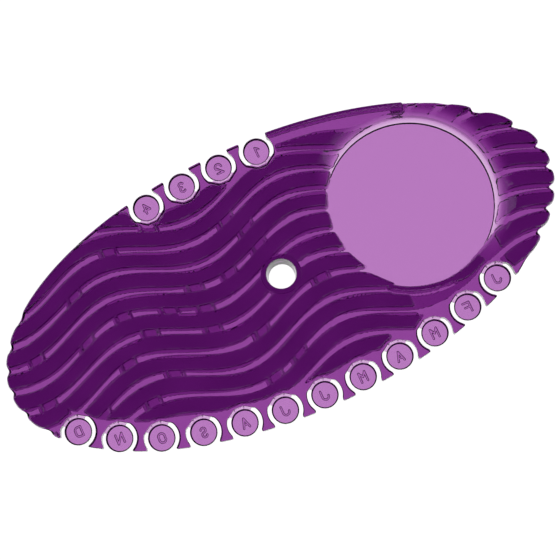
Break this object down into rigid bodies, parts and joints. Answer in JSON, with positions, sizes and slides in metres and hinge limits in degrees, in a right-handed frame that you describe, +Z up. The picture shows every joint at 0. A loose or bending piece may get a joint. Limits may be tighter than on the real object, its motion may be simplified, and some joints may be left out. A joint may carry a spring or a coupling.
{
  "type": "air freshener card",
  "caption": "Flexible oval air freshener card with wavy ribs, a round label window, a hanging hole and break-off date tabs on thin film webs.",
  "frame": {"origin": "under the centre of the hanging hole and of the card's outline, on the surface that the card lies on", "axes": "+X along the card towards the label window, +Y across it towards the week tabs, +Z up out of the recessed face"},
  "size_m": [0.19, 0.091, 0.007],
  "materials": {
    "card_plastic": "glossy translucent purple moulded plastic",
    "tab_plastic": "glossy translucent purple moulded plastic, thin",
    "film_plastic": "very thin translucent film of the same plastic"
  },
  "bodies": {
    "card": {"base_plate": "card_plastic", "hanging_collar": "card_plastic", "front_wave_ribs": "card_plastic", "back_wave_ribs": "card_plastic", "window_guard_rib": "card_plastic"},
    "month_january": {"month_tab_january": "tab_plastic", "month_web_january": "film_plastic"},
    "month_february": {"month_tab_february": "tab_plastic", "month_web_february": "film_plastic"},
    "month_march": {"month_tab_march": "tab_plastic", "month_web_march": "film_plastic"},
    "month_april": {"month_tab_april": "tab_plastic", "month_web_april": "film_plastic"},
    "month_may": {"month_tab_may": "tab_plastic", "month_web_may": "film_plastic"},
    "month_june": {"month_tab_june": "tab_plastic", "month_web_june": "film_plastic"},
    "month_july": {"month_tab_july": "tab_plastic", "month_web_july": "film_plastic"},
    "month_august": {"month_tab_august": "tab_plastic", "month_web_august": "film_plastic"},
    "month_september": {"month_tab_september": "tab_plastic", "month_web_september": "film_plastic"},
    "month_october": {"month_tab_october": "tab_plastic", "month_web_october": "film_plastic"},
    "month_november": {"month_tab_november": "tab_plastic", "month_web_november": "film_plastic"},
    "month_december": {"month_tab_december": "tab_plastic", "month_web_december": "film_plastic"},
    "week_1": {"week_tab_1": "tab_plastic", "week_web_1": "film_plastic"},
    "week_2": {"week_tab_2": "tab_plastic", "week_web_2": "film_plastic"},
    "week_3": {"week_tab_3": "tab_plastic", "week_web_3": "film_plastic"},
    "week_4": {"week_tab_4": "tab_plastic", "week_web_4": "film_plastic"}
  },
  "joints": [
    {"name": "month_january_bend", "type": "hinge", "parent": "card", "child": "month_january", "pos_m": [0.0628, -0.02467, 0.0035], "axis": [1, 0, 0], "range_deg": [-30, 30], "stiffness_Nm_per_rad": 0.002},
    {"name": "month_february_bend", "type": "hinge", "parent": "card", "child": "month_february", "pos_m": [0.05011, -0.02929, 0.0035], "axis": [1, 0, 0], "range_deg": [-30, 30], "stiffness_Nm_per_rad": 0.002},
    {"name": "month_march_bend", "type": "hinge", "parent": "card", "child": "month_march", "pos_m": [0.03703, -0.03256, 0.0035], "axis": [1, 0, 0], "range_deg": [-30, 30], "stiffness_Nm_per_rad": 0.002},
    {"name": "month_april_bend", "type": "hinge", "parent": "card", "child": "month_april", "pos_m": [0.0237, -0.03472, 0.0035], "axis": [1, 0, 0], "range_deg": [-30, 30], "stiffness_Nm_per_rad": 0.002},
    {"name": "month_may_bend", "type": "hinge", "parent": "card", "child": "month_may", "pos_m": [0.01026, -0.03589, 0.0035], "axis": [1, 0, 0], "range_deg": [-30, 30], "stiffness_Nm_per_rad": 0.002},
    {"name": "month_june_bend", "type": "hinge", "parent": "card", "child": "month_june", "pos_m": [-0.00325, -0.03612, 0.0035], "axis": [1, 0, 0], "range_deg": [-30, 30], "stiffness_Nm_per_rad": 0.002},
    {"name": "month_july_bend", "type": "hinge", "parent": "card", "child": "month_july", "pos_m": [-0.01675, -0.03544, 0.0035], "axis": [1, 0, 0], "range_deg": [-30, 30], "stiffness_Nm_per_rad": 0.002},
    {"name": "month_august_bend", "type": "hinge", "parent": "card", "child": "month_august", "pos_m": [-0.03015, -0.03381, 0.0035], "axis": [1, 0, 0], "range_deg": [-30, 30], "stiffness_Nm_per_rad": 0.002},
    {"name": "month_september_bend", "type": "hinge", "parent": "card", "child": "month_september", "pos_m": [-0.04337, -0.03114, 0.0035], "axis": [1, 0, 0], "range_deg": [-30, 30], "stiffness_Nm_per_rad": 0.002},
    {"name": "month_october_bend", "type": "hinge", "parent": "card", "child": "month_october", "pos_m": [-0.0563, -0.02725, 0.0035], "axis": [1, 0, 0], "range_deg": [-30, 30], "stiffness_Nm_per_rad": 0.002},
    {"name": "month_november_bend", "type": "hinge", "parent": "card", "child": "month_november", "pos_m": [-0.06866, -0.02186, 0.0035], "axis": [1, 0, 0], "range_deg": [-30, 30], "stiffness_Nm_per_rad": 0.002},
    {"name": "month_december_bend", "type": "hinge", "parent": "card", "child": "month_december", "pos_m": [-0.07989, -0.01444, 0.0035], "axis": [1, 0, 0], "range_deg": [-30, 30], "stiffness_Nm_per_rad": 0.002},
    {"name": "week_1_bend", "type": "hinge", "parent": "card", "child": "week_1", "pos_m": [0.00926, 0.03594, 0.0035], "axis": [1, 0, 0], "range_deg": [-30, 30], "stiffness_Nm_per_rad": 0.002},
    {"name": "week_2_bend", "type": "hinge", "parent": "card", "child": "week_2", "pos_m": [-0.00423, 0.0361, 0.0035], "axis": [1, 0, 0], "range_deg": [-30, 30], "stiffness_Nm_per_rad": 0.002},
    {"name": "week_3_bend", "type": "hinge", "parent": "card", "child": "week_3", "pos_m": [-0.01774, 0.03535, 0.0035], "axis": [1, 0, 0], "range_deg": [-30, 30], "stiffness_Nm_per_rad": 0.002},
    {"name": "week_4_bend", "type": "hinge", "parent": "card", "child": "week_4", "pos_m": [-0.03113, 0.03365, 0.0035], "axis": [1, 0, 0], "range_deg": [-30, 30], "stiffness_Nm_per_rad": 0.002}
  ]
}
